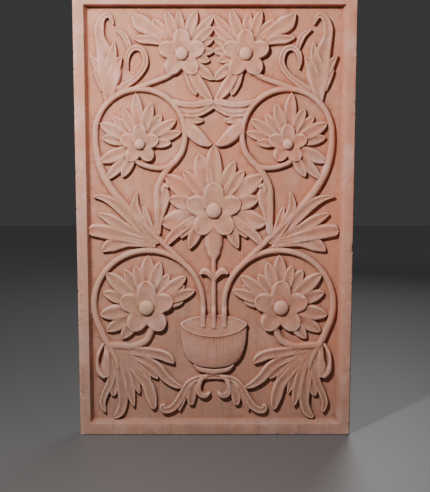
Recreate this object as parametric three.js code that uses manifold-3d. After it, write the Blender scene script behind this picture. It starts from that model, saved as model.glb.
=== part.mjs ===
// A carved sandstone relief panel: a fluted pot, scrolling stems, flowers in fans
// of leaves and leafy corner sprays, inside a raised frame, all cut from one slab.
// Millimetres, +Z up, the carved face towards -Y, the origin under the middle.

import * as THREE from 'three';
import { mergeVertices } from 'three/addons/utils/BufferGeometryUtils.js';
import Module from 'manifold-3d';

const wasm = await Module();
wasm.setup();

// The slab
const PANEL_WIDTH = 900;
const PANEL_HEIGHT = 1440;
const PANEL_THICKNESS = 75;
const WORN_EDGE = 3;

// The raised frame, each member's flat face and the slope down to the ground
const SIDE_MEMBER = 34;
const TOP_MEMBER = 34;
const SILL_MEMBER = 40;
const SIDE_BEVEL = 10;
const TOP_BEVEL = 4;
const SILL_BEVEL = 10;
const RECESS_DEPTH = 28;

// How far each kind of carving stands above the ground
const STEM_RISE = 0.54 * RECESS_DEPTH;
const LEAF_RISE = 0.66 * RECESS_DEPTH;
const PETAL_RISE = 0.82 * RECESS_DEPTH;
const BOSS_RISE = 0.97 * RECESS_DEPTH;
const POT_RISE = 0.88 * RECESS_DEPTH;
const DISH_RISE = 0.6 * RECESS_DEPTH;
const ROOT = 0.1 * RECESS_DEPTH;

// The field inside the frame as the carving below is laid out on it
const DRAWN_HALF = 406;
const DRAWN_BOTTOM = 50;
const DRAWN_TOP = 1402;
const AXIS = -4;
const CENTRE_FLOWER = 92;

// A section's trough and shoulders, as shares of its rise and half width, and the pot's flutes
const GROOVE = 0.74;
const SHOULDER = 0.7;
const FLUTES = 18;
const FLUTE_DEPTH = 2.8;

// Where leaves start, as a share of their flower's radius, and how much they spread
const UNDER_PETALS = 0.62;
const FAN_SPREAD = 1.3;

// How fine the facets are: those that differ by less than TIDY are merged
const TIDY = 2.5;
const BOSS_SIDES = 8;
const PETAL_SIDES = 8;

const GROUND_Y = RECESS_DEPTH - PANEL_THICKNESS / 2;
const FIELD_HALF = PANEL_WIDTH / 2 - SIDE_MEMBER - SIDE_BEVEL;
const FIELD_BOTTOM = SILL_MEMBER + SILL_BEVEL;
const FIELD_TOP = PANEL_HEIGHT - TOP_MEMBER - TOP_BEVEL;

const at = (x, z) => new THREE.Vector2(x, z);
const polar = (centre, angle, reach) => {
  const turn = THREE.MathUtils.degToRad(angle);
  return at(centre.x + reach * Math.cos(turn), centre.y + reach * Math.sin(turn));
};

// A point of the layout, raised above the ground, placed on the slab
function placed(x, z, rise) {
  const across = (x / DRAWN_HALF) * FIELD_HALF;
  const up = (z - DRAWN_BOTTOM) / (DRAWN_TOP - DRAWN_BOTTOM);
  return new THREE.Vector3(across, GROUND_Y - rise, FIELD_BOTTOM + up * (FIELD_TOP - FIELD_BOTTOM));
}

// A closed solid from a three.js geometry, turned outside out where it is inside out
function solid(geometry) {
  geometry.deleteAttribute('normal');
  geometry.deleteAttribute('uv');
  const merged = mergeVertices(geometry, 1e-4);
  const vertProperties = merged.attributes.position.array;
  const triVerts = Uint32Array.from(merged.index.array);
  const corner = (i) => new THREE.Vector3().fromArray(vertProperties, 3 * triVerts[i]);
  let volume = 0;
  for (let i = 0; i < triVerts.length; i += 3) {
    volume += corner(i).dot(corner(i + 1).cross(corner(i + 2)));
  }
  if (volume < 0) triVerts.reverse();
  return new wasm.Manifold(new wasm.Mesh({ numProp: 3, vertProperties, triVerts }));
}

// A solid through a row of rings of points, closed flat at both ends
function loft(rings) {
  const count = rings[0].length;
  const middle = Math.floor(count / 2);
  const last = (rings.length - 1) * count;
  const index = [];
  for (let start = 0; start < last; start += count) {
    for (let i = 0; i < count; i++) {
      const a = start + i;
      const b = start + (i + 1) % count;
      index.push(a, b, b + count, a, b + count, a + count);
    }
  }
  for (let i = 1; i + 1 < count; i++) {
    const b = (middle + i) % count;
    const c = (middle + i + 1) % count;
    index.push(middle, c, b, last + middle, last + b, last + c);
  }
  const geometry = new THREE.BufferGeometry().setFromPoints(rings.flat());
  geometry.setIndex(index);
  return solid(geometry);
}

// A section across a path: [share of the half width, rise] pairs from edge to edge
function across(curve, share, halfWidth, section) {
  const middle = curve.getPoint(share);
  const tangent = curve.getTangent(share);
  const length = Math.hypot(tangent.x, tangent.y);
  return section.map(([side, rise]) => {
    const reach = (side * halfWidth) / length;
    return placed(middle.x - tangent.y * reach, middle.y + tangent.x * reach, rise);
  });
}

const grooved = (rise) => [[-1, -ROOT], [-SHOULDER, rise], [0, GROOVE * rise], [SHOULDER, rise], [1, -ROOT]];
const rounded = (rise) => [[-1, -ROOT], [-SHOULDER, 0.8 * rise], [0, rise], [SHOULDER, 0.8 * rise], [1, -ROOT]];

// A pointed leaf with a groove along it: [share of its length, of its width, of its rise]
const LEAF_STATIONS = [[0, 0.6, 0.85], [0.46, 1, 1], [0.82, 0.64, 0.92], [1, 0.09, 0.6]];

// bow is how far the middle of the leaf swings to the left of the line to its tip
function leaf(base, tip, width, bow = 0, rise = LEAF_RISE) {
  const along = at(tip.x - base.x, tip.y - base.y).normalize();
  const control = at((base.x + tip.x) / 2 - 2 * bow * along.y, (base.y + tip.y) / 2 + 2 * bow * along.x);
  const spine = new THREE.QuadraticBezierCurve(base, control, tip);
  return loft(LEAF_STATIONS.map(([share, wide, high]) => (
    across(spine, share, (width / 2) * wide, grooved(rise * high)))));
}

// A lobe of leaf through stations of [x, z, width], the last of them its tip
function lobe(stations, rise = LEAF_RISE) {
  const places = stations.map((station) => new THREE.Vector3(...station));
  const spine = new THREE.CatmullRomCurve3(places, false, 'catmullrom');
  const steps = 2 * (stations.length - 1);
  const rings = [];
  for (let i = 0; i <= steps; i++) {
    const share = i / steps;
    rings.push(across(spine, share, spine.getPoint(share).z / 2, grooved(rise)));
  }
  return loft(rings);
}

// A rounded band along a path, its width eased from one stop to the next
function band(path, stops, stations, rise = STEM_RISE, section = rounded) {
  const rings = [];
  for (let i = 0; i <= stations; i++) {
    const share = i / stations;
    const next = Math.max(1, stops.findIndex(([place]) => place >= share));
    const [from, narrow] = stops[next - 1];
    const [to, wide] = stops[next];
    const width = THREE.MathUtils.mapLinear(share, from, to, narrow, wide);
    rings.push(across(path, share, width / 2, section(rise)));
  }
  return loft(rings);
}

// A low round form standing out of the ground, from a turned profile of [radius, rise]
function turned(centre, profile, sides, wide = 1, high = 1) {
  const outline = profile.map(([radius, rise]) => at(radius, rise));
  const geometry = new THREE.LatheGeometry(outline, sides);
  const place = geometry.attributes.position;
  for (let i = 0; i < place.count; i++) {
    const spot = placed(centre.x + wide * place.getX(i), centre.y + high * place.getZ(i), place.getY(i));
    place.setXYZ(i, spot.x, spot.y, spot.z);
  }
  return solid(geometry);
}

// Five round petals about a domed boss; radius is the whole flower's
function flower(centre, radius) {
  const petal = 0.39 * radius;
  const boss = 0.27 * radius;
  const petalProfile = [[0, -ROOT], [petal, -ROOT], [0.9 * petal, PETAL_RISE], [0, 0.88 * PETAL_RISE]];
  const bossProfile = [[0, -ROOT], [boss, -ROOT], [boss, PETAL_RISE], [0.7 * boss, BOSS_RISE], [0, BOSS_RISE]];
  const parts = [turned(centre, bossProfile, BOSS_SIDES)];
  for (let i = 0; i < 5; i++) {
    parts.push(turned(polar(centre, 90 + 72 * i, radius - petal), petalProfile, PETAL_SIDES));
  }
  return parts;
}

// Leaves around a flower: [angle, reach of the tip, width, bow]; every other one lies lower
function fan(centre, radius, leaves) {
  return leaves.map(([angle, reach, width, bow = 0], i) => {
    const rise = LEAF_RISE * (i % 2 ? 0.88 : 1);
    const base = polar(centre, angle, UNDER_PETALS * radius);
    return leaf(base, polar(centre, angle, reach), FAN_SPREAD * width, bow, rise);
  });
}

// Lobes that start from one hub, every other one lying lower
function spray(hub, lobes) {
  return lobes.map((stations, i) => lobe([hub, ...stations], LEAF_RISE * (i % 2 ? 0.88 : 1)));
}

const through = (...points) => new THREE.SplineCurve(points.map(([x, z]) => at(x, z)));

// The long stems with their two rings, right of the axis
function stems() {
  const ring = at(211, 440);
  const ringRadius = 180;
  const main = new THREE.Path().moveTo(31, 366).lineTo(31, ring.y);
  main.absarc(ring.x, ring.y, ringRadius, Math.PI, -Math.PI / 7.5, true);
  const tail = [[358, 325], [338, 290], [322, 255], [314, 225]];
  main.splineThru(tail.map(([x, z]) => at(x, z)));

  const crownRing = at(233, 998);
  const crownRadius = 145;
  const turn = 290;
  const rising = new THREE.Path().moveTo(84, 567).lineTo(296, 779);
  rising.absarc(crownRing.x + crownRadius - turn, 984, turn, -Math.PI / 4, 0, false);
  rising.absarc(crownRing.x, crownRing.y, crownRadius, 0, THREE.MathUtils.degToRad(205), false);
  const strap = [[140, 893], [165, 862], [179, 825], [180, 780], [179, 725], [178, 676]];
  rising.splineThru(strap.map(([x, z]) => at(x, z)));

  return [
    band(main, [[0, 20], [0.5, 20], [0.88, 24], [0.96, 22], [1, 8]], 24),
    band(rising, [[0, 20], [0.3, 26], [0.45, 20], [0.75, 20], [0.88, 24], [0.95, 26], [1, 20]], 32),
    lobe([[172, 850, 22], [164, 800, 54], [171, 755, 42], [177, 712, 26], [179, 676, 18]]),
    band(through([128, 912], [160, 894], [200, 893], [240, 908], [255, 930]), [[0, 18], [1, 18]], 5),
    band(through([350, 303], [300, 300], [260, 300], [220, 320], [200, 360]), [[0, 26], [1, 24]], 5),
    band(through([246, 1144], [205, 1160], [150, 1180], [108, 1205]), [[0, 20], [1, 18]], 4),
  ];
}

function crownFlower() {
  const centre = at(98, 1254);
  const radius = 76;
  return [
    ...flower(centre, radius),
    ...fan(centre, radius, [
      [-123, 180, 36, 6], [-109, 139, 30], [-141, 130, 32], [194, 92, 26], [175, 103, 28], [155, 112, 28],
      [141, 131, 30], [130, 157, 32], [109, 144, 36], [86, 130, 32], [70, 143, 34], [50, 140, 34],
      [17, 166, 38, -4],
    ]),
    lobe([[135, 1288, 36], [185, 1325, 42], [228, 1350, 56], [255, 1380, 8]]),
  ];
}

function upperFlower() {
  const centre = at(235, 967);
  const radius = 64;
  return [
    ...flower(centre, radius),
    ...fan(centre, radius, [
      [-61, 120, 30], [-46, 157, 32], [-24, 140, 38], [10, 124, 32], [28, 143, 38], [47, 122, 30],
      [65, 126, 32], [86, 164, 36], [107, 135, 34], [127, 118, 32], [146, 141, 34], [164, 139, 30],
      [177, 101, 26],
    ]),
  ];
}

function lowerFlower() {
  const centre = at(218, 430);
  const radius = 91;
  return [
    ...flower(centre, radius),
    ...fan(centre, radius, [
      [-51, 133, 36], [-31, 155, 38], [-9, 155, 44], [20, 151, 38], [41, 174, 42], [61, 144, 36],
      [76, 144, 34], [92, 174, 42], [107, 158, 38], [124, 132, 36], [141, 173, 40], [157, 172, 38],
      [169, 122, 28],
    ]),
  ];
}

// The leaves right of the flower in the middle, and the bud's side under it
function centreLeaves() {
  const centre = at(AXIS, 752);
  return [
    ...fan(centre, CENTRE_FLOWER, [
      [67, 172, 34], [53, 162, 34], [36, 196, 46], [15, 150, 44], [-4, 128, 34], [-15, 174, 44, -4],
    ]),
    ...spray([44, 724, 32], [
      [[105, 690, 36], [142, 655, 28], [151, 634, 8]],
      [[80, 690, 30], [104, 663, 8]],
      [[62, 672, 40], [77, 627, 10]],
    ]),
  ];
}

// The folds slung between the two crown rings, and the drops that meet under them
function bow() {
  return [
    lobe([[130, 1106, 20], [45, 1102, 24], [AXIS, 1100, 28]]),
    lobe([[118, 1090, 20], [52, 1085, 24], [AXIS, 1097, 20]], 0.85 * LEAF_RISE),
    lobe([[109, 1074, 20], [40, 1066, 22], [AXIS, 1092, 18]]),
    lobe([[102, 1058, 22], [50, 1043, 26], [29, 1043, 8]], 0.85 * LEAF_RISE),
    lobe([[90, 1046, 26], [62, 1008, 40], [36, 983, 32], [2, 967, 6]]),
  ];
}

// The spray that fills the space between the rings and the frame
function sideSpray() {
  return spray([206, 650, 28], [
    [[208, 708, 26], [225, 763, 8]],
    [[236, 722, 34], [252, 766, 30], [245, 812, 6]],
    [[262, 722, 38], [312, 770, 36], [352, 792, 22], [388, 798, 5]],
    [[280, 692, 34], [332, 722, 38], [372, 742, 8]],
    [[290, 668, 44], [350, 682, 50], [403, 688, 30]],
    [[282, 650, 38], [332, 639, 46], [362, 620, 12]],
  ]);
}

// The tall spray beside the crown, its curled top, and the hook that springs from its foot
function topSpray() {
  return [
    lobe([
      [338, 1096, 38], [332, 1150, 54], [331, 1200, 82], [342, 1250, 58], [357, 1300, 34], [359, 1335, 32],
      [349, 1364, 22], [328, 1372, 16], [313, 1344, 9],
    ]),
    lobe([[322, 1175, 40], [304, 1222, 32], [290, 1244, 8]], 1.05 * LEAF_RISE),
    lobe([[330, 1210, 44], [317, 1255, 30], [314, 1290, 6]], 1.05 * LEAF_RISE),
    lobe([[346, 1140, 28], [364, 1182, 24], [379, 1204, 5]], 0.95 * LEAF_RISE),
    lobe([[350, 1180, 32], [370, 1222, 28], [390, 1250, 5]]),
    lobe([[262, 1266, 16], [270, 1292, 20], [283, 1314, 18], [307, 1330, 5]], 0.95 * LEAF_RISE),
    lobe([
      [318, 1126, 32], [282, 1152, 24], [240, 1182, 19], [214, 1222, 19], [220, 1260, 19], [243, 1273, 19],
      [264, 1260, 18], [272, 1234, 12], [268, 1204, 4],
    ]),
  ];
}

// The acanthus under the ring, its lobes curling down and away from the corner
function bottomSpray() {
  return [
    ...spray([318, 290, 34], [
      [[250, 282, 34], [180, 272, 36], [128, 242, 8]],
      [[245, 262, 34], [190, 232, 38], [156, 192, 34], [124, 168, 24], [97, 159, 5]],
      [[255, 248, 28], [215, 218, 30], [182, 190, 8]],
      [[262, 242, 28], [230, 208, 32], [205, 183, 8]],
      [[258, 220, 34], [220, 172, 40], [205, 126, 40], [196, 84, 18]],
      [[278, 220, 30], [256, 172, 28], [244, 138, 6]],
      [[288, 210, 34], [276, 156, 36], [263, 95, 6]],
      [[324, 220, 30], [326, 175, 34], [333, 130, 20]],
      [[308, 210, 40], [300, 150, 40], [300, 105, 34], [312, 72, 30], [330, 56, 14]],
    ]),
    lobe([[328, 282, 30], [332, 225, 28], [340, 180, 28], [360, 135, 24], [368, 104, 22], [359, 74, 10]]),
    lobe([[362, 300, 26], [361, 262, 46], [360, 220, 50], [344, 186, 10]], 0.85 * LEAF_RISE),
    lobe([[366, 304, 12], [380, 272, 12], [384, 236, 11], [376, 208, 8]]),
  ];
}

// The scrolls under the pot and the leaves outside them, right of the axis
function footScroll() {
  return [
    lobe([
      [AXIS - 6, 203, 18], [36, 196, 20], [76, 182, 20], [103, 150, 20], [122, 112, 20], [137, 86, 20],
      [157, 76, 16], [171, 84, 12], [166, 99, 6],
    ]),
    lobe([[18, 198, 14], [38, 186, 16], [46, 163, 18], [44, 140, 22], [26, 131, 20], [8, 143, 8]]),
    lobe([[50, 184, 20], [64, 158, 28], [71, 126, 34], [72, 99, 18]]),
    lobe([[72, 176, 20], [90, 146, 26], [103, 112, 24], [112, 79, 6]], 0.9 * LEAF_RISE),
  ];
}

function bracts() {
  return [lobe([[0, 532, 12], [14, 548, 20], [40, 556, 6]], STEM_RISE)];
}

// The pot: a fluted bowl under a dished mouth, on a low foot
function pot() {
  const mouthHalf = 110.5;
  const mouthHeight = 36;
  const mouthMiddle = 370;
  // The bowl's levels: [z in the middle, sag at the sides, half width, share of the rise]
  const levels = [
    [227, 16, 70, 0.7], [238, 20, 86, 0.86], [260, 27, 99, 0.97], [290, 34, 107, 1],
    [mouthMiddle - mouthHeight, mouthHeight, mouthHalf, 0.88],
  ];
  const columns = 2 * FLUTES;
  const bowl = levels.map(([middle, sag, half, share]) => {
    const ring = [placed(AXIS - half, middle + sag, -ROOT)];
    for (let i = 0; i <= columns; i++) {
      const turn = (Math.PI * i) / columns;
      const round = Math.sin(turn);
      const rise = POT_RISE * share * (0.35 + 0.65 * round ** 0.6) - (i % 2 ? 0 : FLUTE_DEPTH);
      ring.push(placed(AXIS - half * Math.cos(turn), middle + sag * (1 - round), rise));
    }
    ring.push(placed(AXIS + half, middle + sag, -ROOT));
    return ring;
  });
  const rim = 0.8 * POT_RISE;
  const lip = [[0, -ROOT], [1, -ROOT], [1, rim], [0.92, rim], [0.86, DISH_RISE], [0, DISH_RISE]];
  const mouth = turned(at(AXIS, mouthMiddle), lip, 20, mouthHalf, mouthHeight);
  const foot = through([AXIS - 68, 238], [AXIS - 50, 219], [AXIS, 209], [AXIS + 50, 219], [AXIS + 68, 238]);
  return [
    loft(bowl), mouth,
    band(foot, [[0, 8], [0.25, 20], [0.75, 20], [1, 8]], 10, 0.62 * POT_RISE),
    band(through([AXIS, 366], [AXIS, 480], [AXIS, 604]), [[0, 18], [1, 17]], 3),
  ];
}

function slab() {
  const outline = new THREE.Shape();
  const half = PANEL_WIDTH / 2 - WORN_EDGE;
  outline.moveTo(-half, WORN_EDGE).lineTo(half, WORN_EDGE);
  outline.lineTo(half, PANEL_HEIGHT - WORN_EDGE).lineTo(-half, PANEL_HEIGHT - WORN_EDGE).closePath();
  const block = new THREE.ExtrudeGeometry(outline, {
    depth: PANEL_THICKNESS - 2 * WORN_EDGE, bevelEnabled: true,
    bevelThickness: WORN_EDGE, bevelSize: WORN_EDGE, bevelSegments: 1,
  });
  block.rotateX(Math.PI / 2);
  block.translate(0, PANEL_THICKNESS / 2 - WORN_EDGE, 0);
  return solid(block);
}

// The ground inside the frame, cut down from the face
function recess() {
  const clearance = 5;
  const ring = (depth) => {
    const slope = 1 - depth / RECESS_DEPTH;
    const half = FIELD_HALF + SIDE_BEVEL * slope;
    const bottom = FIELD_BOTTOM - SILL_BEVEL * slope;
    const top = FIELD_TOP + TOP_BEVEL * slope;
    const corners = [[-half, bottom], [half, bottom], [half, top], [-half, top]];
    return corners.map(([x, z]) => new THREE.Vector3(x, depth - PANEL_THICKNESS / 2, z));
  };
  return loft([ring(-clearance), ring(RECESS_DEPTH)]);
}

// Everything that stands on both sides of the axis, given for the right side
function halfCarving() {
  return [
    ...stems(), ...crownFlower(), ...upperFlower(), ...lowerFlower(), ...centreLeaves(), ...bow(),
    ...sideSpray(), ...topSpray(), ...bottomSpray(), ...footScroll(), ...bracts(),
  ];
}

// The same solid on the other side of the axis
function reflected(piece) {
  const mesh = piece.getMesh();
  const positions = Float32Array.from(mesh.vertProperties);
  const twice = 2 * placed(AXIS, 0, 0).x;
  for (let i = 0; i < positions.length; i += 3) positions[i] = twice - positions[i];
  const geometry = new THREE.BufferGeometry();
  geometry.setAttribute('position', new THREE.BufferAttribute(positions, 3));
  geometry.setIndex(Array.from(mesh.triVerts));
  return solid(geometry);
}

// The stone alone, without the pinholes that overlapping pieces close in
function stoneOf(body) {
  return body.decompose().reduce((most, part) => (part.volume() > most.volume() ? part : most));
}

function carvedPanel() {
  const right = wasm.Manifold.union(halfCarving()).asOriginal().simplify(TIDY);
  const middle = [
    ...flower(at(AXIS, 752), CENTRE_FLOWER), leaf(at(AXIS, 770), at(AXIS, 964), 54),
    band(through([AXIS, 588], [AXIS, 640], [AXIS, 700]), [[0, 20], [0.25, 44], [0.5, 56], [1, 70]], 4, LEAF_RISE), ...pot(),
  ];
  const carving = wasm.Manifold.union([right, reflected(right), ...middle]);
  return stoneOf(slab().subtract(recess()).add(carving).asOriginal().simplify(TIDY));
}

const sandstone = new THREE.MeshStandardMaterial({ color: 0xb98c76, roughness: 0.92, metalness: 0 });

function mesh(name, piece, material) {
  const { vertProperties, triVerts } = piece.getMesh();
  const geometry = new THREE.BufferGeometry();
  geometry.setAttribute('position', new THREE.BufferAttribute(vertProperties, 3));
  geometry.setIndex(Array.from(triVerts));
  const made = new THREE.Mesh(geometry, material);
  made.name = name;
  return made;
}

const panel = new THREE.Group();
panel.add(mesh('relief_panel', carvedPanel(), sandstone));
export default panel;
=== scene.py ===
"""A carved sandstone relief panel: a pot of scrolling, flowering stems in a raised frame.

The carving is laid out as strokes on the slab's face, in millimetres, each with a width and a
rise above the ground. Geometry Nodes turn every stroke into a body of stone, set the bosses of
the flowers, and fuse all of it with the slab into one worn skin.
"""

import math
import random

import bpy
import numpy as np
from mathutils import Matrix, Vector


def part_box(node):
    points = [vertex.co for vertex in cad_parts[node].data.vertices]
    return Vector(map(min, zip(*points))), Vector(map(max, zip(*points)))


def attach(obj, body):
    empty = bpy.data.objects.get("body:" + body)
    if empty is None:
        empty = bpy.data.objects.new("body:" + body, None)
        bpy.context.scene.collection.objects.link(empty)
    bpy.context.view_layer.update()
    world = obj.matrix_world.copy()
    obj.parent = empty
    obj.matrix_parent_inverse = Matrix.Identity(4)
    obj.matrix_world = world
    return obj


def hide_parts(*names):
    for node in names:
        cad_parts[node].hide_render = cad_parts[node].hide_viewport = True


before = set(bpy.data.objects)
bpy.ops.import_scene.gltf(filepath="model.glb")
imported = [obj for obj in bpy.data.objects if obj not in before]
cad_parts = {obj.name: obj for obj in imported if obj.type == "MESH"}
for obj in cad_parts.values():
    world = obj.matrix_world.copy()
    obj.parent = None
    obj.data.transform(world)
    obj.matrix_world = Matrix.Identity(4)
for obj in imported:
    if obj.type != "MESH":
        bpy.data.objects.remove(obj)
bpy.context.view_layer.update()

# The layout's millimetres in metres
MM = 0.001

# The slab and its frame
slab_low, slab_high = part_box("relief_panel")
WIDTH = (slab_high.x - slab_low.x) / MM
HEIGHT = (slab_high.z - slab_low.z) / MM
THICKNESS = (slab_high.y - slab_low.y) / MM
SIDE_MEMBER = 34
TOP_MEMBER = 34
SILL_MEMBER = 40
SIDE_BEVEL = 10
TOP_BEVEL = 4
SILL_BEVEL = 10
RECESS = 28
WORN_EDGE = 3

# How far the drawn slab stays inside the part's box, so that its uneven skin does too
SKIN_MARGIN = 0.2

# Rises above the ground, as shares of the recess
STEM = 0.54 * RECESS
LEAF = 0.66 * RECESS
PETAL = 0.82 * RECESS
BOSS = 0.98 * RECESS
BOSS_FOOT = 0.6 * RECESS
POT = 0.88 * RECESS
DISH_BACK = 0.34 * RECESS
DISH_FRONT = 0.8 * RECESS
STEM_END = 0.76 * RECESS

# How deep a stroke's body reaches into the ground
ROOT = 0.1 * RECESS

# The middle line that the carving is mirrored on
AXIS = -4

# The pot: its flutes, the rim above the dished mouth, and how pointed the mouth's corners are
FLUTES = 30
FLUTE_DEPTH = 1.4
RIM = 1.6
LENS = 1.35

# A flower, as shares of its radius: its boss, half a petal's width and where its leaves start
PETALS = 5
BOSS_SHARE = 0.27
PETAL_SHARE = 0.39
UNDER_PETALS = 0.5

# How much lower each petal lies than the one above it, and how much wider it is before its end
PETAL_DROP = 0.07
PETAL_BULGE = 0.1

# A leaf's width at its base as a share of its fullest, how far along it is fullest, how blunt
# its tip is, and how much wider the leaves under a flower are than their list says
BASE_SHARE = 0.7
FULLEST = 0.56
TIP_ROUNDNESS = 0.6
FAN_SPREAD = 1.4

# Where along a lobe its tip starts to round off, and the share of its rise that it starts at
LOBE_TIP = 0.9
LOBE_START = 0.72

# How deeply a piece is hollowed along its length, how far across, and how square its top is
LEAF_TROUGH = 0.36
PETAL_TROUGH = 0.2
TROUGH_REACH = 0.82
LEAF_SQUARENESS = 5
PETAL_SQUARENESS = 9
STEM_SQUARENESS = 3

GROUND_Y = RECESS - THICKNESS / 2
VOXEL = 1.5
FINE_TRIANGLES = 190000

# The hand-dressed surface and the knocks along the slab's long edges
UNEVENNESS = 0.9
CHIP_DEPTH = 4
CHIP_REACH = 9

# The stone's colours. The stain colour also serves as painted shade towards the lower left, the
# darkest one is painted shade in creases, and the palest, for wear, also serves as a painted
# highlight on convex edges
PINK = (0.62, 0.255, 0.17, 1)
BEIGE = (0.58, 0.295, 0.205, 1)
BUFF = (0.44, 0.27, 0.17, 1)
BLUSH = (0.64, 0.24, 0.155, 1)
DUST = (0.72, 0.43, 0.375, 1)
STAIN_AND_LOW_SHADE = (0.27, 0.16, 0.125, 1)
PAINTED_CREASE_SHADE = (0.2, 0.07, 0.04, 1)
WEAR_AND_EDGE_HIGHLIGHT = (0.8, 0.52, 0.43, 1)
VEIN = (0.4, 0.27, 0.13, 1)
OCHRE = (0.5, 0.2, 0.115, 1)
VEIN_PLACE = (-0.226, 0, 0.43)

# The carver's hand, which lets the left half drift from the right one
hand = random.Random(11)


class Field:
    """One number for every point of a node tree, so that formulas read as arithmetic."""

    def __init__(self, tree, socket):
        self.tree = tree
        self.socket = socket

    def math(self, operation, *others):
        return self.tree.math(operation, self, *others)

    def __add__(self, other):
        return self.math("ADD", other)

    def __sub__(self, other):
        return self.math("SUBTRACT", other)

    def __rsub__(self, other):
        return self.tree.math("SUBTRACT", other, self)

    def __mul__(self, other):
        return self.math("MULTIPLY", other)

    def __truediv__(self, other):
        return self.math("DIVIDE", other)

    def __pow__(self, other):
        return self.math("POWER", other)

    __radd__ = __add__
    __rmul__ = __mul__


class Graph:
    """A node tree under construction, in which formulas are written as arithmetic."""

    def __init__(self, group):
        self.group = group

    def plug(self, value, socket):
        if isinstance(value, Field):
            value = value.socket
        if isinstance(value, bpy.types.NodeSocket):
            self.group.links.new(value, socket)
        else:
            socket.default_value = value

    def node(self, kind, settings=None, **values):
        made = self.group.nodes.new(kind)
        for name, value in (settings or {}).items():
            setattr(made, name, value)
        for name, value in values.items():
            self.plug(value, made.inputs[name.replace("_", " ")])
        return made

    def math(self, operation, *values):
        made = self.node("ShaderNodeMath", {"operation": operation})
        for value, socket in zip(values, made.inputs):
            self.plug(value, socket)
        return Field(self, made.outputs[0])

    def parts(self, vector):
        made = self.node("ShaderNodeSeparateXYZ")
        self.plug(vector, made.inputs[0])
        return [Field(self, socket) for socket in made.outputs]

    def vector(self, x, y, z):
        made = self.node("ShaderNodeCombineXYZ")
        for value, socket in zip((x, y, z), made.inputs):
            self.plug(value, socket)
        return made.outputs[0]

    def noise(self, place, scale, detail=2.0, roughness=0.5, distortion=0.0):
        made = self.node("ShaderNodeTexNoise", Scale=scale, Detail=detail, Roughness=roughness,
                         Distortion=distortion)
        self.plug(place, made.inputs["Vector"])
        return Field(self, made.outputs[0])

    def stretched(self, place, scale):
        made = self.node("ShaderNodeVectorMath", {"operation": "MULTIPLY"})
        self.plug(place, made.inputs[0])
        self.plug(scale, made.inputs[1])
        return made.outputs[0]

    def between(self, value, low, high):
        """0 below low, 1 above high and an even slope from one to the other."""
        made = self.node("ShaderNodeMapRange", {"clamp": True})
        for item, socket in zip((value, low, high, 0.0, 1.0), made.inputs):
            self.plug(item, socket)
        return Field(self, made.outputs[0])


class Tree(Graph):
    """A Geometry Nodes tree with named inputs."""

    KINDS = {float: "NodeSocketFloat", int: "NodeSocketInt", bpy.types.Object: "NodeSocketObject",
             bpy.types.Material: "NodeSocketMaterial"}

    def __init__(self, name, **inputs):
        super().__init__(bpy.data.node_groups.new(name, "GeometryNodeTree"))
        for in_out in ("INPUT", "OUTPUT"):
            self.group.interface.new_socket(
                name="Geometry", in_out=in_out, socket_type="NodeSocketGeometry")
        self.values = {}
        for title, value in inputs.items():
            socket = self.group.interface.new_socket(
                name=title.replace("_", " "), in_out="INPUT", socket_type=self.KINDS[type(value)])
            self.values[socket.identifier] = value
        self.entry = self.group.nodes.new("NodeGroupInput")
        self.exit = self.group.nodes.new("NodeGroupOutput")

    def input(self, title):
        return Field(self, self.entry.outputs[title.replace("_", " ")])

    @property
    def geometry(self):
        return self.entry.outputs["Geometry"]

    def choose(self, test, otherwise, chosen):
        made = self.node("GeometryNodeSwitch", {"input_type": "FLOAT"})
        for value, socket in zip((test, otherwise, chosen), made.inputs):
            self.plug(value, socket)
        return Field(self, made.outputs[0])

    def above(self, value, limit):
        made = self.node("FunctionNodeCompare", {"operation": "GREATER_THAN"})
        self.plug(value, made.inputs[0])
        self.plug(limit, made.inputs[1])
        return made.outputs[0]

    def read(self, name, kind="FLOAT"):
        made = self.node("GeometryNodeInputNamedAttribute", {"data_type": kind}, Name=name)
        return made.outputs["Attribute"]

    def number(self, name):
        return Field(self, self.read(name))

    def keep(self, geometry, name, value, kind="FLOAT"):
        made = self.node(
            "GeometryNodeStoreNamedAttribute", {"data_type": kind, "domain": "POINT"},
            Geometry=geometry, Name=name)
        self.plug(value, made.inputs["Value"])
        return made.outputs[0]

    def run(self, base, name):
        """The base object's shape after this tree, as a plain mesh in an object of its own."""
        modifier = base.modifiers.new(self.group.name, "NODES")
        modifier.node_group = self.group
        for identifier, value in self.values.items():
            modifier[identifier] = value
        graph = bpy.context.evaluated_depsgraph_get()
        mesh = bpy.data.meshes.new_from_object(base.evaluated_get(graph))
        base.modifiers.remove(modifier)
        return shown(name, mesh)


def shown(name, mesh):
    made = bpy.data.objects.new(name, mesh)
    bpy.context.scene.collection.objects.link(made)
    return made


def mesh_of(name, points, edges=(), faces=(), **attributes):
    """An object from points in millimetres of the layout, with a number at each point."""
    mesh = bpy.data.meshes.new(name)
    mesh.from_pydata([tuple(c * MM for c in p) for p in points], list(edges), list(faces))
    for title, values in attributes.items():
        mesh.attributes.new(title, "FLOAT", "POINT").data.foreach_set("value", values)
    return shown(name, mesh)


class Strokes:
    """Paths over the ground with a half width, rise, trough and squareness at each point."""

    def __init__(self):
        self.points, self.edges = [], []
        self.half, self.rise, self.trough, self.square = [], [], [], []

    def add(self, path, halves, rises, trough, square, sides=(1, -1)):
        for side in sides:
            first = len(self.points)
            drift = 0 if side == 1 else hand.uniform(-1.2, 1.2)
            swell = 1 if side == 1 else hand.uniform(0.96, 1.04)
            for i, (x, z) in enumerate(path):
                share = i / (len(path) - 1)
                self.points.append((AXIS + side * (x - AXIS), GROUND_Y, z + drift * share))
                self.half.append(halves[i] * swell)
                self.rise.append(rises[i])
                self.trough.append(trough)
                self.square.append(square)
                if i:
                    self.edges.append((first + i - 1, first + i))

    def as_object(self):
        scaled = {"half": [v * MM for v in self.half], "rise": [v * MM for v in self.rise]}
        return mesh_of(
            "strokes", self.points, self.edges, **scaled, trough=self.trough, square=self.square)


strokes = Strokes()
bosses = []


def ease(t):
    return t * t * (3 - 2 * t)


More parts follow.
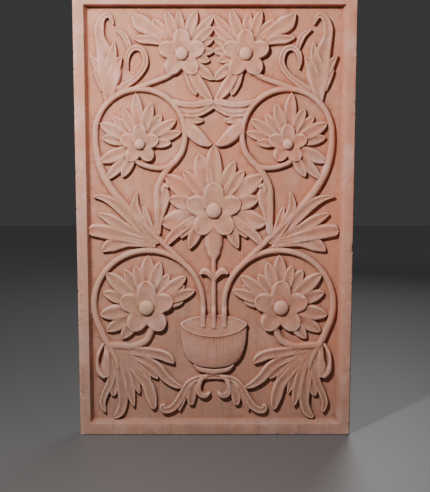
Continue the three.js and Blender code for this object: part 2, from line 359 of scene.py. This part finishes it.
def polar(centre, angle, reach):
    turn = math.radians(angle)
    return centre[0] + reach * math.cos(turn), centre[1] + reach * math.sin(turn)


def quadratic(a, b, c, t):
    return tuple((1 - t) ** 2 * p + 2 * t * (1 - t) * q + t * t * r for p, q, r in zip(a, b, c))


def through(points, steps):
    """A smooth path through points, by the Catmull-Rom rule; a point's further numbers follow."""
    ends = [points[0], *points, points[-1]]
    path = []
    spans = len(points) - 1
    for i in range(steps + 1):
        place = min(i / steps * spans, spans - 1e-6)
        k, t = int(place), place - int(place)
        path.append(tuple(between_knots(t, *knots) for knots in zip(*ends[k:k + 4])))
    return path


def between_knots(t, a, b, c, d):
    cubic = (2 * a - 5 * b + 4 * c - d) * t ** 2 + (3 * b - a - 3 * c + d) * t ** 3
    return 0.5 * (2 * b + (c - a) * t + cubic)


def tip_close(share, start):
    """The width's share near a tip, which is rounded off from start on."""
    return math.sqrt(max(0.02, 1 - max(0, (share - start) / (1 - start)) ** 2))


def leaf(base, tip, width, bow=0, rise=LEAF, sides=(1, -1)):
    """A pointed leaf; bow is how far its middle swings left of the line to its tip."""
    steps = 14
    run = (tip[0] - base[0], tip[1] - base[1])
    length = math.hypot(*run)
    side = (-run[1] / length, run[0] / length)
    control = tuple((p + q) / 2 + 2 * bow * s for p, q, s in zip(base, tip, side))
    path, halves, rises = [], [], []
    for i in range(steps + 1):
        t = i / steps
        path.append(quadratic(base, control, tip, t))
        swell = BASE_SHARE + (1 - BASE_SHARE) * ease(min(1, t / FULLEST))
        close = 1 - max(0, (t - FULLEST) / (1 - FULLEST)) ** 1.7
        halves.append(max(0.8, width / 2 * swell * max(0, close) ** TIP_ROUNDNESS))
        rises.append(rise * (0.86 + 0.14 * ease(min(1, t / 0.4)) - 0.25 * max(0, t - 0.5) ** 1.5))
    strokes.add(path, halves, rises, LEAF_TROUGH, LEAF_SQUARENESS, sides)


def lobe(*stations, rise=LEAF, trough=LEAF_TROUGH):
    """A lobe of leaf through stations of x, z and width, its tip rounded off."""
    steps = 10 * (len(stations) - 1)
    run = through(stations, steps)
    halves, rises = [], []
    for i, (x, z, width) in enumerate(run):
        halves.append(max(0.8, width / 2 * tip_close(i / steps, LOBE_TIP)))
        rises.append(rise * (LOBE_START + (1 - LOBE_START) * ease(min(1, i / steps / 0.3))))
    strokes.add([station[:2] for station in run], halves, rises, trough, LEAF_SQUARENESS)


def eased(stops, share):
    """The value at a share of the way, eased between stops of share and value."""
    for (a, low), (b, high) in zip(stops, stops[1:]):
        if share <= b:
            return low + (high - low) * ease((share - a) / (b - a))
    return stops[-1][1]


def band(path, widths, rise=STEM, trough=0, square=STEM_SQUARENESS):
    """A stem along a path, its width by stops of how far along the path they are."""
    lengths = np.concatenate([[0], np.cumsum(np.hypot(*np.diff(np.array(path), axis=0).T))])
    shares = lengths / lengths[-1]
    halves = [eased(widths, share) / 2 for share in shares]
    strokes.add(path, halves, [rise] * len(path), trough, square)


def arc(centre, radius, start, end, steps):
    return [polar(centre, start + (end - start) * i / steps, radius) for i in range(steps + 1)]


def flower(centre, radius):
    """Round petals, slightly dished and lower toward the boss that they surround."""
    petal = PETAL_SHARE * radius
    bosses.append((centre, BOSS_SHARE * radius))
    for i in range(PETALS):
        steps = 16
        angle = 90 + 360 / PETALS * i
        lift = PETAL * (1 - PETAL_DROP * min(i, PETALS - i))
        path, halves, rises = [], [], []
        for k in range(steps + 1):
            t = k / steps
            reach = radius * (0.1 + 0.9 * t)
            middle = radius - petal
            off = min(1, abs(reach - middle) / petal)
            round_end = petal * math.sqrt(max(0.004, 1 - off ** 2))
            inner = petal * (1 + PETAL_BULGE * math.sin(math.pi * min(1, reach / middle)))
            halves.append(round_end if reach > middle else inner)
            path.append(polar(centre, angle, reach))
            rises.append(lift * (0.74 + 0.26 * ease(min(1, t / 0.8))))
        strokes.add(path, halves, rises, PETAL_TROUGH, PETAL_SQUARENESS)


def fan(centre, radius, leaves, spread=FAN_SPREAD, sides=(1, -1)):
    """Leaves from under a flower, each by its angle, reach, width and bow."""
    for i, (angle, reach, width, *bow) in enumerate(leaves):
        rise = LEAF * (0.9 if i % 2 else 1)
        base = polar(centre, angle, UNDER_PETALS * radius)
        leaf(base, polar(centre, angle, reach), spread * width, *bow, rise=rise, sides=sides)


def carve_stems():
    ring, ring_radius = (211, 440), 180
    crown, crown_radius, turn = (233, 998), 145, 290
    main = [(31, 366), (31, 400)] + arc(ring, ring_radius, 180, -24, 60)
    main += through([(375, 367), (358, 325), (338, 290), (322, 255), (314, 225)], 16)[1:]
    band(main, [(0, 20), (0.5, 20), (0.88, 24), (0.96, 22), (1, 8)])
    lobe((31, 438, 19), (31, 402, 20), (31, 364, 22), rise=STEM_END, trough=0)
    rising = [(84, 567), (150, 633), (220, 703), (290, 773)]
    rising += arc((crown[0] + crown_radius - turn, 984), turn, -42, 0, 16)
    rising += arc(crown, crown_radius, 6, 205, 50)
    rising += through(
        [(120, 912), (140, 893), (162, 862), (178, 825), (180, 780), (179, 725), (178, 676)], 24)
    band(rising, [(0, 20), (0.3, 26), (0.45, 20), (0.75, 20), (0.88, 24), (0.95, 26), (1, 20)])
    lobe((172, 850, 22), (164, 800, 54), (171, 755, 42), (177, 712, 26), (180, 682, 24),
         (181, 670, 10))
    lobe((160, 802, 16), (161, 824, 15), (153, 834, 14), (143, 826, 8), rise=STEM, trough=0)
    upper_stalk = through([(137, 896), (165, 890), (200, 893), (240, 908), (255, 930)], 14)
    band(upper_stalk, [(0, 18), (1, 18)])
    lower_stalk = through([(350, 303), (300, 300), (260, 300), (220, 320), (200, 360)], 14)
    band(lower_stalk, [(0, 26), (1, 24)])
    crown_stalk = through([(246, 1144), (205, 1160), (150, 1180), (108, 1205)], 12)
    band(crown_stalk, [(0, 20), (1, 18)])


def carve_crown_flower():
    centre, radius = (98, 1254), 76
    flower(centre, radius)
    fan(centre, radius, [
        (-123, 180, 36, 6), (-109, 139, 30), (-141, 130, 32), (194, 92, 26), (175, 103, 28),
        (155, 112, 28), (141, 131, 30), (130, 157, 32), (109, 144, 36), (86, 130, 32),
        (70, 143, 34), (50, 140, 34)], spread=1.12)
    lobe((138, 1290, 30), (188, 1298, 32), (226, 1300, 28), (254, 1306, 8))
    lobe((135, 1288, 36), (185, 1325, 42), (228, 1350, 56), (255, 1380, 8))


def carve_upper_flower():
    centre, radius = (235, 967), 64
    flower(centre, radius)
    fan(centre, radius, [
        (-61, 120, 30), (-46, 157, 32), (-24, 140, 38), (10, 124, 32), (28, 143, 38),
        (47, 122, 30), (65, 126, 32), (86, 164, 36), (107, 135, 34), (127, 118, 32),
        (146, 141, 34), (164, 139, 30), (177, 101, 26)], spread=1.2)


def carve_lower_flower():
    centre, radius = (218, 430), 91
    flower(centre, radius)
    fan(centre, radius, [
        (-51, 133, 36), (-31, 155, 38), (-9, 155, 44), (20, 151, 38), (41, 174, 42),
        (61, 144, 36), (76, 144, 34), (92, 174, 42), (107, 158, 38), (124, 132, 36),
        (141, 168, 36), (150, 146, 30), (160, 170, 34), (170, 124, 28)], spread=1.2)


def carve_centre():
    centre, radius = (AXIS, 752), 92
    flower(centre, radius)
    leaf((AXIS, 790), (AXIS, 964), 60)
    fan(centre, radius, [(53, 162, 34), (36, 196, 46), (15, 150, 40), (-13, 176, 52, -6)])
    fan(centre, radius, [(67, 172, 34)], sides=(1,))
    fan(centre, radius, [(75, 190, 46)], sides=(-1,))
    lobe((50, 728, 30), (105, 690, 36), (142, 655, 28), (151, 634, 8))
    lobe((44, 722, 30), (80, 690, 30), (104, 663, 8), rise=0.9 * LEAF)
    lobe((30, 720, 34), (55, 680, 44), (66, 652, 34), (76, 628, 6))
    bud = through([(AXIS, 588), (AXIS, 640), (AXIS, 695)], 16)
    band(bud, [(0, 20), (0.24, 46), (0.5, 58), (1, 64)], 0.8 * LEAF)
    band([(AXIS, 366), (AXIS, 480), (AXIS, 604)], [(0, 18), (1, 17)])
    lobe((AXIS, 438, 16), (AXIS, 402, 18), (AXIS, 362, 20), rise=STEM_END, trough=0)
    lobe((0, 524, 10), (12, 545, 20), (27, 552, 21), (43, 544, 8), rise=1.1 * LEAF, trough=0.1)


def carve_bow():
    """Folds slung between the two crown rings, and the drops that meet under them."""
    lobe((133, 1107, 14), (100, 1096, 20), (62, 1093, 22), (30, 1098, 24), (AXIS, 1104, 24),
         trough=0.1)
    lobe((119, 1090, 18), (88, 1080, 20), (52, 1079, 20), (22, 1088, 20), (AXIS, 1098, 18),
         rise=0.9 * LEAF)
    lobe((109, 1074, 18), (80, 1063, 20), (45, 1065, 20), (14, 1080, 20), (AXIS, 1092, 18))
    lobe((102, 1058, 22), (74, 1049, 28), (50, 1043, 24), (29, 1043, 8), rise=0.85 * LEAF)
    lobe((94, 1040, 22), (68, 1012, 46), (40, 985, 44), (16, 970, 26), (2, 967, 6), trough=0.12)


def carve_side_spray():
    hub = (186, 640, 22)
    lobe(hub, (208, 708, 26), (218, 744, 20), (225, 763, 8), rise=0.9 * LEAF)
    lobe(hub, (236, 722, 32), (252, 766, 30), (245, 812, 6))
    lobe(hub, (262, 722, 36), (312, 770, 36), (352, 792, 22), (388, 798, 5))
    lobe(hub, (280, 692, 34), (332, 722, 38), (372, 742, 8), rise=0.9 * LEAF)
    lobe(hub, (290, 668, 42), (350, 682, 50), (403, 688, 38))
    lobe(hub, (240, 645, 26), (282, 650, 38), (332, 639, 46), (362, 620, 12), rise=0.9 * LEAF)


def carve_top_spray():
    lobe((337, 1100, 18), (334, 1122, 36), (332, 1150, 54), (331, 1200, 82), (342, 1250, 58),
         (357, 1300, 34), (359, 1335, 32), (349, 1364, 22), (328, 1372, 16), (313, 1344, 9))
    lobe((322, 1175, 40), (304, 1222, 32), (290, 1244, 8), rise=1.05 * LEAF)
    lobe((330, 1210, 44), (317, 1255, 30), (314, 1290, 6), rise=1.05 * LEAF)
    lobe((346, 1140, 28), (364, 1182, 24), (379, 1204, 5), rise=0.95 * LEAF)
    lobe((350, 1180, 32), (370, 1222, 28), (390, 1250, 5))
    lobe((262, 1266, 16), (270, 1292, 20), (283, 1314, 18), (307, 1330, 5), rise=0.95 * LEAF)
    lobe((318, 1126, 32), (282, 1152, 24), (240, 1182, 19), (214, 1222, 19), (220, 1260, 19),
         (243, 1273, 19), (264, 1260, 18), (272, 1234, 12), (268, 1204, 4))


def carve_bottom_spray():
    """A mass of acanthus under the ring, its lobes curling down and away from the corner."""
    lobe((330, 300, 30), (290, 245, 96), (268, 205, 96), (258, 170, 50), rise=0.55 * LEAF, trough=0)
    hub = (322, 294, 16)
    lobe(hub, (250, 282, 34), (180, 272, 36), (146, 258, 32), (128, 242, 8))
    lobe(hub, (245, 262, 34), (190, 232, 38), (156, 192, 34), (124, 168, 24), (97, 159, 5))
    lobe(hub, (255, 248, 28), (215, 218, 30), (182, 190, 8), rise=0.9 * LEAF)
    lobe(hub, (262, 242, 28), (230, 208, 32), (205, 183, 8), rise=0.9 * LEAF)
    lobe(hub, (258, 220, 34), (220, 172, 40), (205, 126, 40), (196, 84, 18))
    lobe(hub, (278, 220, 30), (256, 172, 28), (244, 138, 6), rise=0.9 * LEAF)
    lobe(hub, (288, 210, 34), (276, 156, 36), (269, 120, 24), (263, 95, 6))
    lobe(hub, (308, 210, 40), (300, 150, 40), (300, 105, 34), (312, 72, 30), (330, 56, 14))
    lobe(hub, (324, 220, 30), (326, 175, 34), (333, 130, 20), rise=0.9 * LEAF)
    lobe((328, 282, 30), (332, 225, 28), (340, 180, 28), (360, 135, 24), (368, 104, 22),
         (359, 74, 10))
    lobe((352, 300, 16), (352, 262, 26), (354, 226, 36), (352, 194, 18), rise=0.95 * LEAF, trough=0)
    lobe((362, 308, 10), (378, 278, 13), (383, 246, 13), (377, 214, 20), (358, 194, 20), trough=0)


def carve_foot_scroll():
    """The pot's dished foot, the two scrolls that curl in under it and the leaves outside them."""
    foot = through([(AXIS - 3, 212), (40, 220), (62, 237)], 14)
    band(foot, [(0, 26), (0.6, 20), (1, 8)], 0.62 * POT)
    lobe((AXIS - 6, 196, 16), (36, 192, 18), (70, 180, 20), (91, 156, 22), (108, 122, 26),
         (126, 95, 26), (145, 82, 24), (161, 81, 23), (167, 91, 18), (159, 98, 10))
    lobe((18, 198, 14), (38, 186, 16), (46, 163, 18), (44, 140, 22), (26, 131, 20), (8, 143, 8),
         trough=0.12)
    lobe((50, 184, 20), (64, 158, 28), (71, 126, 34), (72, 99, 18))
    lobe((72, 176, 20), (90, 146, 26), (103, 112, 24), (112, 79, 6), rise=0.9 * LEAF)


def stroke_tree():
    """Each path becomes a closed body of stone, its top rounded, squared or hollowed."""
    tree = Tree("carved strokes", Step=0.002, Root=ROOT * MM, Section=22)
    curve = tree.node("GeometryNodeMeshToCurve", Mesh=tree.geometry).outputs[0]
    curve = tree.node("GeometryNodeResampleCurve", {"mode": "LENGTH"}, Curve=curve,
                      Length=tree.input("Step")).outputs[0]
    position = tree.node("GeometryNodeInputPosition").outputs[0]
    curve = tree.keep(curve, "middle", position, "FLOAT_VECTOR")
    tangent = tree.node("GeometryNodeInputTangent").outputs[0]
    curve = tree.keep(curve, "along", tangent, "FLOAT_VECTOR")
    circle = tree.node(
        "GeometryNodeCurvePrimitiveCircle", Resolution=tree.input("Section"), Radius=1.0)
    around = tree.parts(position)
    section = tree.keep(circle.outputs[0], "side", around[0])
    section = tree.keep(section, "lift", around[1])
    body = tree.node(
        "GeometryNodeCurveToMesh", Curve=curve, Profile_Curve=section, Fill_Caps=True).outputs[0]

    side, lift = tree.number("side"), tree.number("lift")
    middle = tree.parts(tree.read("middle", "FLOAT_VECTOR"))
    along = tree.parts(tree.read("along", "FLOAT_VECTOR"))
    edge = side.math("ABSOLUTE")
    crown = (1 - edge ** tree.number("square")).math("MAXIMUM", 0.0) ** 0.5
    cut = (1 - (edge / TROUGH_REACH) ** 2.0).math("MAXIMUM", 0.0)
    top = tree.number("rise") * crown * (1 - cut * tree.number("trough"))
    height = tree.choose(tree.above(lift, -0.01), 0 - tree.input("Root"), top)
    reach = side * tree.number("half")
    place = tree.vector(
        middle[0] - along[2] * reach, middle[1] - height, middle[2] + along[0] * reach)
    body = tree.node("GeometryNodeSetPosition", Geometry=body, Position=place).outputs[0]
    tree.plug(body, tree.exit.inputs["Geometry"])
    return tree


def boss_tree():
    """A low dome at each point, as wide as the point's radius."""
    tree = Tree("flower bosses", Foot=BOSS_FOOT * MM, Rise=(BOSS - BOSS_FOOT) * MM, Segments=32)
    dome = tree.node(
        "GeometryNodeMeshUVSphere", Segments=tree.input("Segments"), Rings=16, Radius=1.0)
    radius = tree.number("radius")
    domes = tree.node(
        "GeometryNodeInstanceOnPoints", Points=tree.geometry, Instance=dome.outputs[0],
        Scale=tree.vector(radius, tree.input("Rise"), radius)).outputs[0]
    domes = tree.node("GeometryNodeRealizeInstances", Geometry=domes).outputs[0]
    lifted = tree.vector(0.0, 0 - tree.input("Foot"), 0.0)
    domes = tree.node("GeometryNodeSetPosition", Geometry=domes, Offset=lifted).outputs[0]
    tree.plug(domes, tree.exit.inputs["Geometry"])
    return tree


def pot_bodies():
    """The pot's fluted bowl and its dished mouth, as rings of points closed at both ends."""
    mouth_half, corners, mouth_top, lip = 110.5, 376, 28, 42
    # Each level's middle height, the drop of its front edge, its half width and share of the rise
    levels = [
        (227, 16, 70, 0.7), (238, 20, 86, 0.86), (260, 27, 99, 0.97), (290, 34, 107, 1),
        (corners - lip, lip, mouth_half, 0.88)]
    columns, rows = 120, 28
    bowl = []
    for middle, sag, half, share in through(levels, rows):
        ring = [(AXIS - half, GROUND_Y + ROOT, middle + sag)]
        for i in range(columns + 1):
            turn = math.pi * i / columns
            swell = math.sin(turn)
            flute = FLUTE_DEPTH * (0.5 + 0.5 * math.cos(2 * FLUTES * turn)) * swell ** 0.5
            rise = POT * share * (0.35 + 0.65 * swell ** 0.6) - flute
            drop = sag * (1 - swell ** LENS)
            ring.append((AXIS - half * math.cos(turn), GROUND_Y - rise, middle + drop))
        ring.append((AXIS + half, GROUND_Y + ROOT, middle + sag))
        bowl.append(ring)

    # The mouth's rings, each by its share of the mouth's size and its height over the dish
    profile = [
        (0.02, None), (1, None), (1, RIM - 1), (0.985, RIM), (0.95, RIM), (0.925, 0), (0.02, 0)]
    sectors = 72
    mouth = []
    for share, rim in profile:
        ring = []
        for i in range(sectors):
            turn = 2 * math.pi * i / sectors
            x = share * math.cos(turn)
            up = share * math.copysign(abs(math.sin(turn)) ** LENS, math.sin(turn))
            reach = mouth_top if up > 0 else lip
            dish = DISH_BACK + (DISH_FRONT - DISH_BACK) * (1 - up) / 2
            rise = -ROOT if rim is None else dish + rim
            ring.append((AXIS + mouth_half * x, GROUND_Y - rise, corners + reach * up))
        mouth.append(ring)
    return [lofted("bowl", bowl), lofted("mouth", mouth)]


def lofted(name, rings):
    count = len(rings[0])
    points = [p for ring in rings for p in ring]
    last = (len(rings) - 1) * count
    faces = [
        (a + i, a + (i + 1) % count, a + count + (i + 1) % count, a + count + i)
        for a in range(0, last, count) for i in range(count)]
    faces += [tuple(reversed(range(count))), tuple(range(last, last + count))]
    return mesh_of(name, points, faces=faces)


def slab_body():
    """The slab with its worn arris, frame and sunk ground."""
    back, face = THICKNESS / 2 - SKIN_MARGIN, SKIN_MARGIN - THICKNESS / 2
    half = WIDTH / 2 - SKIN_MARGIN

    def ring(inset_side, inset_low, inset_high, y):
        x, low, high = half - inset_side, SKIN_MARGIN + inset_low, HEIGHT - SKIN_MARGIN - inset_high
        return [(-x, y, low), (x, y, low), (x, y, high), (-x, y, high)]

    rings = [
        ring(WORN_EDGE, WORN_EDGE, WORN_EDGE, back), ring(0, 0, 0, back - WORN_EDGE),
        ring(0, 0, 0, face + WORN_EDGE), ring(WORN_EDGE, WORN_EDGE, WORN_EDGE, face),
        ring(SIDE_MEMBER, SILL_MEMBER, TOP_MEMBER, face),
        ring(SIDE_MEMBER + SIDE_BEVEL, SILL_MEMBER + SILL_BEVEL, TOP_MEMBER + TOP_BEVEL, GROUND_Y)]
    return lofted("slab", rings)


def skin_tree(carving, stone):
    """All the stone fused into one skin, uneven as hand-dressed stone is, its edges chipped."""
    tree = Tree("stone skin", Carving=carving, Voxel=VOXEL * MM, Unevenness=UNEVENNESS * MM,
                Chip_depth=CHIP_DEPTH * MM, Chip_reach=CHIP_REACH * MM, Stone=stone)
    info = tree.node("GeometryNodeObjectInfo", Object=tree.input("Carving"))
    both = tree.node("GeometryNodeJoinGeometry")
    for geometry in (tree.geometry, info.outputs["Geometry"]):
        tree.group.links.new(geometry, both.inputs[0])
    grid = tree.node(
        "GeometryNodeMeshToSDFGrid", Mesh=both.outputs[0], Voxel_Size=tree.input("Voxel"))
    skin = tree.node(
        "GeometryNodeGridToMesh", Grid=grid.outputs[0], Threshold=0.0, Adaptivity=0.0).outputs[0]

    place = tree.node("GeometryNodeInputPosition").outputs[0]
    normal = tree.node("GeometryNodeInputNormal").outputs[0]
    x, y, z = tree.parts(place)
    waves = tree.noise(place, 38.0, 3.0) + tree.noise(place, 150.0, 2.0) * 0.5 - 0.75
    uneven = waves * tree.input("Unevenness")
    from_side = WIDTH / 2 * MM - x.math("ABSOLUTE")
    from_end = z.math("MINIMUM", HEIGHT * MM - z)
    from_face = THICKNESS / 2 * MM - y.math("ABSOLUTE")
    from_outline = from_side.math("MINIMUM", from_end)
    from_arris = from_outline + from_face.math("MAXIMUM", 0.0)
    near = 1 - tree.between(from_arris, 0.0, tree.input("Chip reach"))
    knocks = tree.between(tree.noise(place, 42.0, 5.0, 0.62), 0.56, 0.72)
    chips = knocks * near * tree.input("Chip depth")
    inside = tree.between(from_outline.math("MINIMUM", from_face), 0.0, 0.002)
    out = tree.node("ShaderNodeVectorMath", {"operation": "SCALE"})
    tree.plug(normal, out.inputs[0])
    tree.plug(uneven * inside - chips, out.inputs["Scale"])
    skin = tree.node("GeometryNodeSetPosition", Geometry=skin, Offset=out.outputs[0]).outputs[0]
    skin = tree.node("GeometryNodeRealizeInstances", Geometry=skin).outputs[0]
    skin = tree.node(
        "GeometryNodeSetMaterial", Geometry=skin, Material=tree.input("Stone")).outputs[0]
    tree.plug(skin, tree.exit.inputs["Geometry"])
    return tree


def pink_sandstone():
    """Fine pink and beige stone: clouded, faintly bedded, speckled and streaked; paler on convex
    edges, partly as wear and partly as a painted highlight; darkened in creases with painted shade;
    darker towards the lower left, partly as stain and partly as painted shade.
    """
    stone = bpy.data.materials.new("pink sandstone")
    stone.use_nodes = True
    graph = Graph(stone.node_tree)
    shader = stone.node_tree.nodes["Principled BSDF"]
    place = graph.node("ShaderNodeTexCoord").outputs["Object"]

    def mixed(share, first, second, mode="MIX"):
        made = graph.node("ShaderNodeMix", {"data_type": "RGBA", "blend_type": mode})
        graph.plug(share, made.inputs["Factor"])
        graph.plug(first, made.inputs[6])
        graph.plug(second, made.inputs[7])
        return made.outputs[2]

    x, y, z = graph.parts(place)
    clouds = graph.between(graph.noise(place, 4.5, 5.0, 0.62, 0.6) - x * 0.25, 0.36, 0.64)
    colour = mixed(clouds, PINK, BEIGE)
    bedding = graph.between(
        graph.noise(graph.stretched(place, (26.0, 8.0, 1.6)), 1.0, 4.0, 0.6, 0.8), 0.45, 0.75)
    colour = mixed(bedding * 0.5, colour, BUFF)
    blush = graph.between(graph.noise(place, 9.0, 4.0, 0.6), 0.48, 0.66)
    colour = mixed(blush * 0.7, colour, BLUSH)
    dust = graph.between(graph.noise(place, 8.0, 5.0, 0.7, 0.6), 0.5, 0.66)
    colour = mixed(dust * 0.65, colour, DUST)
    streaks = graph.between(
        graph.noise(graph.stretched(place, (60.0, 30.0, 3.0)), 1.0, 4.0, 0.6, 0.5), 0.5, 0.8)
    # Darker towards the lower left: partly stain, partly painted shade standing in for light that
    # fades towards the bottom
    low = graph.between(z + x * 0.35, 0.75, 0.0)
    patches = graph.between(graph.noise(place, 5.5, 4.0, 0.6, 0.3), 0.3, 0.7)
    sunk = graph.between(y, (GROUND_Y - 9) * MM, (GROUND_Y - 1) * MM)
    colour = mixed(sunk * 0.4, colour, OCHRE)
    # The streaks are stain; the lower-left part is stain and painted shade
    colour = mixed(streaks * 0.35 + low * (0.5 + patches * 0.35), colour, STAIN_AND_LOW_SHADE)
    vein = graph.node("ShaderNodeVectorMath", {"operation": "DISTANCE"})
    graph.plug(graph.vector(x, 0.0, z), vein.inputs[0])
    graph.plug(VEIN_PLACE, vein.inputs[1])
    colour = mixed(graph.between(vein.outputs["Value"], 0.034, 0.018) * 0.75, colour, VEIN)
    grain = graph.noise(place, 850.0, 3.0, 0.7)
    specks = graph.noise(place, 240.0, 3.0, 0.65)
    shade = 1 + (grain - 0.5) * 0.3 + (specks - 0.5) * 0.24
    colour = mixed(1.0, colour, graph.vector(shade, shade, shade), "MULTIPLY")
    curve = Field(graph, graph.node("ShaderNodeNewGeometry").outputs["Pointiness"])
    # Painted shade: concave creases and the feet of the carving's walls darkened, where shade falls
    colour = mixed(graph.between(curve, 0.498, 0.465) * 0.6, colour, PAINTED_CREASE_SHADE)
    # Convex edges paler: partly wear on the arrises, partly a painted highlight where edges catch
    # the light
    colour = mixed(graph.between(curve, 0.505, 0.54) * 0.55, colour, WEAR_AND_EDGE_HIGHLIGHT)
    graph.plug(colour, shader.inputs["Base Color"])
    graph.plug(0.86 + (specks - 0.5) * 0.2, shader.inputs["Roughness"])
    shader.inputs["Specular IOR Level"].default_value = 0.25

    tooling = graph.noise(graph.stretched(place, (90.0, 90.0, 60.0)), 1.0, 4.0, 0.6)
    back = graph.between(y, (THICKNESS / 2 - 2) * MM, (THICKNESS / 2 - 0.5) * MM)
    pits = graph.noise(place, 420.0, 3.0, 0.65)
    relief = tooling * (0.0012 + back * 0.006) + pits * 0.0006 + grain * 0.0002
    bump = graph.node("ShaderNodeBump", Strength=0.7, Distance=1.0, Height=relief)
    graph.plug(bump.outputs[0], shader.inputs["Normal"])
    return stone


def join(pieces, name):
    with bpy.context.temp_override(
            active_object=pieces[0], selected_editable_objects=pieces, object=pieces[0]):
        bpy.ops.object.join()
    pieces[0].name = name
    return pieces[0]


carve_stems()
carve_crown_flower()
carve_upper_flower()
carve_lower_flower()
carve_centre()
carve_bow()
carve_side_spray()
carve_top_spray()
carve_bottom_spray()
carve_foot_scroll()

raw_strokes = strokes.as_object()
carved = stroke_tree().run(raw_strokes, "carved strokes")
boss_points = [
    (AXIS + side * (x - AXIS), GROUND_Y, z) for (x, z), radius in bosses for side in (1, -1)]
raw_bosses = mesh_of(
    "boss points", boss_points, radius=[radius * MM for _, radius in bosses for side in (1, -1)])
domes = boss_tree().run(raw_bosses, "bosses")
carving = join([carved, domes, *pot_bodies()], "carving")
slab = slab_body()
panel = skin_tree(carving, pink_sandstone()).run(slab, "carved_panel")
for scrap in (raw_strokes, raw_bosses, carving, slab):
    bpy.data.objects.remove(scrap)


def thin(piece, triangles):
    modifier = piece.modifiers.new("thin", "DECIMATE")
    modifier.ratio = min(1, triangles / (2 * len(piece.data.polygons)))
    graph = bpy.context.evaluated_depsgraph_get()
    mesh = bpy.data.meshes.new_from_object(piece.evaluated_get(graph))
    piece.modifiers.remove(modifier)
    piece.data = mesh


thin(panel, FINE_TRIANGLES)
panel.data.shade_smooth()

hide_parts("relief_panel")
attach(panel, "root")

# The floor, the camera at the photo's place, and the light
SKY = (0.8, 0.82, 0.85, 1)
SKY_STRENGTH = 0.055
FLOOR_GLOW = 0.025

bpy.ops.mesh.primitive_plane_add(size=12)
floor = bpy.context.object
floor.name = "floor"
dark = bpy.data.materials.new("dark floor")
dark.use_nodes = True
dark_inputs = dark.node_tree.nodes["Principled BSDF"].inputs
dark_inputs["Base Color"].default_value = (0.1, 0.1, 0.1, 1)
dark_inputs["Emission Color"].default_value = SKY
dark_inputs["Emission Strength"].default_value = FLOOR_GLOW
floor.data.materials.append(dark)

CAMERA_HEIGHT = 1.0671
CAMERA_DISTANCE = 3.107
CAMERA_PITCH = 7.86
PHOTO_HEIGHT = 492
FOCAL_PIXELS = 964

lens = bpy.data.cameras.new("camera")
lens.sensor_fit = "VERTICAL"
lens.sensor_height = 24
lens.lens = FOCAL_PIXELS / PHOTO_HEIGHT * lens.sensor_height
camera = bpy.data.objects.new("camera", lens)
camera.location = (0, slab_low.y - CAMERA_DISTANCE, CAMERA_HEIGHT)
camera.rotation_euler = (math.radians(90 - CAMERA_PITCH), 0, 0)
bpy.context.scene.collection.objects.link(camera)
bpy.context.scene.camera = camera


def lamp(name, place, aim, size, watts, colour=(1, 1, 1)):
    data = bpy.data.lights.new(name, "AREA")
    data.size = size
    data.energy = watts
    data.color = colour
    made = bpy.data.objects.new(name, data)
    made.location = place
    direction = tuple(b - a for a, b in zip(place, aim))
    made.rotation_euler = Vector(direction).to_track_quat("-Z", "Y").to_euler()
    bpy.context.scene.collection.objects.link(made)


lamp("key", (-0.83, -1.6, 2.06), (0, 0, 0.6), 0.13, 77, (1, 0.955, 0.925))
lamp("back", (0.9, 2.4, 1.9), (0, 0, 0.7), 1.2, 30)
world = bpy.data.worlds.new("studio")
world.use_nodes = True
world.node_tree.nodes["Background"].inputs[0].default_value = SKY
world.node_tree.nodes["Background"].inputs[1].default_value = SKY_STRENGTH
bpy.context.scene.world = world
